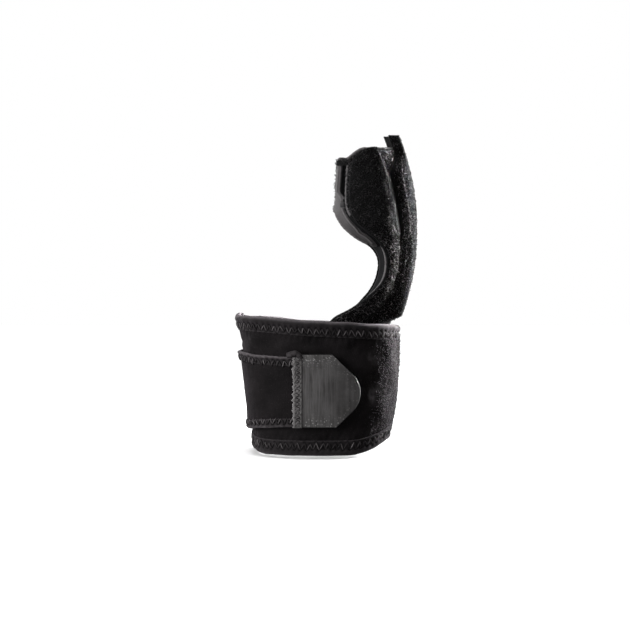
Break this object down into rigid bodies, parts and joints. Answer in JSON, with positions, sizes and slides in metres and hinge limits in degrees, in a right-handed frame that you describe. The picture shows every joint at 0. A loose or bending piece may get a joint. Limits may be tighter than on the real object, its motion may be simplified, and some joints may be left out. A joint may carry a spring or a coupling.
{
  "type": "wrist and thumb support brace",
  "caption": "Black fabric wrist and thumb support brace with a wide wrist wrap, a closing strap with a hook tab and a stiffened thumb sleeve.",
  "frame": {"origin": "centre of the brace's bounding box in X and Y, at the plane of the wrist wrap's lower edge", "axes": "+Z from the forearm to the fingers, +X towards the thumb side, -Y towards the palm side"},
  "size_m": [0.0954, 0.0712, 0.1664],
  "materials": {
    "knit": "smooth black stretch knit laminate",
    "lining": "soft brushed black lining",
    "binding": "folded black knit hem",
    "thread": "dark grey sewing thread",
    "loop_pile": "fuzzy black loop pile",
    "shell": "smooth charcoal laminate",
    "hook_tape": "dark grey hook tape with a smooth back",
    "aluminium": "satin bendable strip",
    "cap_plastic": "black dipped end caps"
  },
  "bodies": {
    "brace": {"wrist_wrap": "knit", "wrist_lining": "lining", "wrist_top_binding": "binding", "wrist_bottom_binding": "binding", "wrist_top_stitching": "thread", "wrist_bottom_stitching": "thread", "strap_anchor": "knit", "strap_anchor_stitching": "thread", "thumb_palmar_shell": "shell", "thumb_palmar_lining": "lining", "thumb_dorsal_shell": "shell", "thumb_dorsal_lining": "lining", "palmar_loop_panel": "loop_pile", "dorsal_loop_panel": "loop_pile", "web_band": "shell", "web_bridge_tab": "loop_pile", "web_bar_tack": "thread", "stay_pocket": "loop_pile"},
    "wrap_end": {"wrap_end_flap": "knit", "wrap_end_top_binding": "binding", "wrap_end_bottom_binding": "binding", "wrap_end_hook": "hook_tape"},
    "strap": {"strap_band": "knit", "strap_top_binding": "binding", "strap_bottom_binding": "binding", "strap_top_stitching": "thread", "strap_bottom_stitching": "thread", "tab_seam_tape": "hook_tape", "tab_seam_stitching": "thread"},
    "hook_tab": {"hook_tab_backing": "hook_tape", "hook_field": "hook_tape"},
    "stay": {"thumb_stay": "aluminium", "stay_lower_cap": "cap_plastic", "stay_upper_cap": "cap_plastic"},
    "flap": {"thumb_flap": "loop_pile", "thumb_flap_hook": "hook_tape"}
  },
  "joints": [
    {"name": "strap_open", "type": "hinge", "parent": "brace", "child": "strap", "pos_m": [-0.00848, 0.03187, 0.036], "axis": [0, 0, -1], "range_deg": [0, 100]},
    {"name": "tab_peel", "type": "hinge", "parent": "strap", "child": "hook_tab", "pos_m": [-0.01162, -0.02926, 0.034], "axis": [0, 0, -1], "range_deg": [0, 70]},
    {"name": "wrap_end_open", "type": "hinge", "parent": "brace", "child": "wrap_end", "pos_m": [-0.04117, 0.01175, 0.0354], "axis": [-0.1235, 0.0181, 0.9922], "range_deg": [0, 25]},
    {"name": "stay_slide", "type": "hinge", "parent": "brace", "child": "stay", "pos_m": [-0.08231, -0.00885, 0.11547], "axis": [0, -0.9903, -0.1392], "range_deg": [0, 30]},
    {"name": "thumb_flap_peel", "type": "hinge", "parent": "brace", "child": "flap", "pos_m": [0.03433, -0.03181, 0.13411], "axis": [0.038, 0.0162, 0.9991], "range_deg": [0, 95]}
  ],
  "couplings": [
    {"joint": "wrap_end_open", "follows": "strap_open", "ratio": 0.25}
  ]
}
